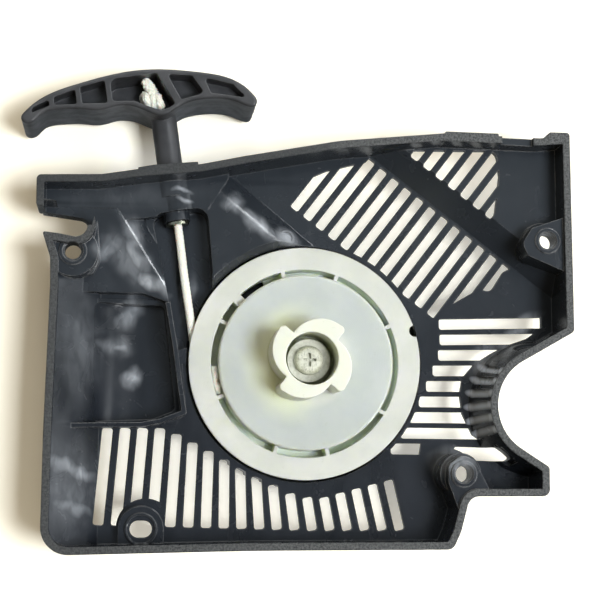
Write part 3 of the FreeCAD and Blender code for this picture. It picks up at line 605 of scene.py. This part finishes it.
# ---------------------------------------------------------------- the object
NODE_MATERIALS = {
    "starter_housing": cover_plastic(),
    "rope_reel": reel_nylon(),
    "pull_handle": grip_plastic(),
    "spring_case": case_plastic(),
    "cord_eyelet": metal("eyelet_steel", (0.36, 0.36, 0.28), (0.20, 0.20, 0.14), 0.20, 0.36, 0.5),
    "recoil_spring": metal("spring_steel", (0.30, 0.31, 0.34), (0.20, 0.19, 0.20), 0.28, 0.46, 0.4),
    "reel_screw": metal("screw_steel", (0.66, 0.67, 0.58), (0.46, 0.47, 0.38), 0.24, 0.42, 0.35, 0.45),
    "reel_washer": metal("washer_steel", (0.66, 0.66, 0.58), (0.50, 0.50, 0.42), 0.28, 0.46, 0.45, 0.5),
}
for node_name, node_material in NODE_MATERIALS.items():
    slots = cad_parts[node_name].data.materials
    slots.clear()
    slots.append(node_material)

cord_material = cord_fibre()


def dress(piece, body, *nodes):
    """Gives a cord piece its material, its body and the CAD nodes it stands in for."""
    piece.data.materials.append(cord_material)
    if body:
        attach(piece, body)
    if nodes:
        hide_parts(*nodes)


dress(cord_run(), "housing", "cord_run")
dress(coil(), "reel", "cord_coil")
dress(reel_cord_end(), "reel", "reel_knot")
dress(grip_cord(), "handle", "handle_cord")
dress(grip_knot(), "handle", "handle_knot")
stretch, stretch_start, stretch_end = stretch_cord()
dress(stretch, None)
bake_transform(stretch)


# ---------------------------------------------------------------- stage, light and camera
BACK_Y = cad_high[1] + 0.0012
FLOOR_Z = cad_low[2] - 0.0005
BACKDROP_HALF = 3.0
FLOOR_HALF = 4.0
SQUARE = ((-1, -1), (1, -1), (1, 1), (-1, 1))

# Name, place, aim, size, power, colour, and whether it lights surfaces and shows in reflections.
LIGHTS = [
    ("key", (0.66, -1.66, -0.26), (0.0, 0.0, 0.0), 0.60, 45.0, (0.97, 0.99, 1.0), True, False),
    ("sparkle_right", (1.10, -1.35, -0.50), (0.0, 0.0, 0.0), 0.16, 14.0, (0.97, 0.99, 1.0), False, True),
    ("sparkle_top", (0.77, -1.13, 0.86), (-0.01, 0.0, 0.04), 0.20, 9.0, (0.95, 0.98, 1.0), False, True),
    ("right_window", (1.10, -0.35, 0.10), (0.0, 0.0, 0.0), 0.9, 6.0, (0.93, 0.97, 1.0), True, True),
    ("sky_window", (-0.15, -0.85, 1.15), (-0.02, 0.0, 0.03), 0.6, 5.0, (1.0, 0.98, 0.94), True, True),
    ("back", (-0.7, 1.1, 0.9), (0.0, 0.0, 0.0), 0.8, 16.0, (1.0, 0.99, 0.97), True, True),
]

CAMERA_PLACE = (-0.060911, -0.494938, -0.041589)
CAMERA_AIM = (-0.003831, -0.001988, 0.019611)
FRONT_Y = -0.48               # with the camera nearer the front than this, the backdrop is shown
SIDE_Y = -0.43                # with the camera further back than this, the floor is shown
OUT_OF_SIGHT = 60.0


def sheet(name, corners, material):
    made = new_object(name, corners, [(0, 1, 2, 3)])
    made.data.materials.append(material)
    return made


def backdrop():
    """Paper close behind the object; behind the vents a patch glows a little, painted light standing in
    for light that comes through them.
    """
    corners = [(x * BACKDROP_HALF, BACK_Y, z * BACKDROP_HALF) for x, z in SQUARE]
    paper = stage_paper("backdrop_paper", (0.89, 0.87, 0.78), (0.16, 0.18, 0.20), 0.32,
                        (-60.0, -60.0), (84.0, 70.0), 18.0)
    return sheet("backdrop", corners, paper)


def ground():
    """Paper just under the object, glowing evenly."""
    corners = [(x * FLOOR_HALF, y * FLOOR_HALF, FLOOR_Z) for x, y in SQUARE]
    paper = stage_paper("floor_paper", (0.52, 0.55, 0.60), (0.45, 0.46, 0.47), 0.46,
                        (-4000.0, -100.0), (4000.0, 100.0), 50.0)
    return sheet("floor", corners, paper)


def place_facing(made, place, aim):
    """Puts a light or a camera at a place, turned to its aim."""
    made.location = place
    made.rotation_euler = (Vector(aim) - Vector(place)).to_track_quat("-Z", "Y").to_euler()
    bpy.context.scene.collection.objects.link(made)


def area_light(name, place, aim, size, power, colour, surfaces, reflections):
    data = bpy.data.lights.new(name, "AREA")
    data.size = size
    data.energy = power
    data.color = colour
    made = bpy.data.objects.new(name, data)
    made.visible_diffuse = surfaces
    made.visible_glossy = reflections
    place_facing(made, place, aim)


def room():
    """Warm fill light; pale to the camera; in reflections a cooler room, bright above, dark below."""
    world = bpy.data.worlds.new("room")
    world.use_nodes = True
    n = Nodes(world.node_tree)
    up = n.add("SeparateXYZ", {}, {0: n.add("TexCoord").outputs["Generated"]}).outputs[2]
    height = n.add("MapRange", {}, {"Value": up, "From Min": -1.0}).outputs[0]
    ramp = n.add("ValToRGB", {}, {0: height})
    ramp.color_ramp.elements[0].position = 0.30
    ramp.color_ramp.elements[0].color = (0.06, 0.065, 0.075, 1.0)
    ramp.color_ramp.elements[1].position = 0.85
    ramp.color_ramp.elements[1].color = (0.80, 0.92, 1.0, 1.0)
    fill = n.add("Background", {}, {0: (1.0, 0.82, 0.56), 1: 0.46}).outputs[0]
    mirrored = n.add("Background", {}, {0: ramp.outputs[0]}).outputs[0]
    seen = n.add("Background", {}, {0: (0.90, 0.89, 0.87)}).outputs[0]
    ray = n.add("LightPath").outputs
    light = n.add("MixShader", {}, {0: ray["Is Glossy Ray"], 1: fill, 2: mirrored}).outputs[0]
    either = n.add("MixShader", {}, {0: ray["Is Camera Ray"], 1: light, 2: seen}).outputs[0]
    n.add("OutputWorld", {}, {0: either})
    return world


def new_camera():
    data = bpy.data.cameras.new("camera")
    data.lens = 90.0
    data.sensor_width = 36.0
    made = bpy.data.objects.new("camera", data)
    place_facing(made, CAMERA_PLACE, CAMERA_AIM)
    return made


def follow_camera(sheet_object, camera, front, side):
    """Moves a sheet along Y to one place with the camera in front, another with it elsewhere."""
    curve = sheet_object.driver_add("location", 1)
    curve.driver.type = "AVERAGE"
    variable = curve.driver.variables.new()
    variable.type = "TRANSFORMS"
    variable.targets[0].id = camera
    variable.targets[0].transform_type = "LOC_Y"
    for modifier in list(curve.modifiers):
        curve.modifiers.remove(modifier)
    for value, out in ((FRONT_Y, front), (SIDE_Y, side)):
        key = curve.keyframe_points.insert(value, out)
        key.interpolation = "LINEAR"


wall = backdrop()
floor = ground()
for light in LIGHTS:
    area_light(*light)
bpy.context.scene.world = room()
bpy.context.scene.view_settings.view_transform = "Standard"
scene_camera = new_camera()
bpy.context.scene.camera = scene_camera
follow_camera(wall, scene_camera, 0.0, OUT_OF_SIGHT)
follow_camera(floor, scene_camera, -OUT_OF_SIGHT, 0.0)

bpy.context.view_layer.update()
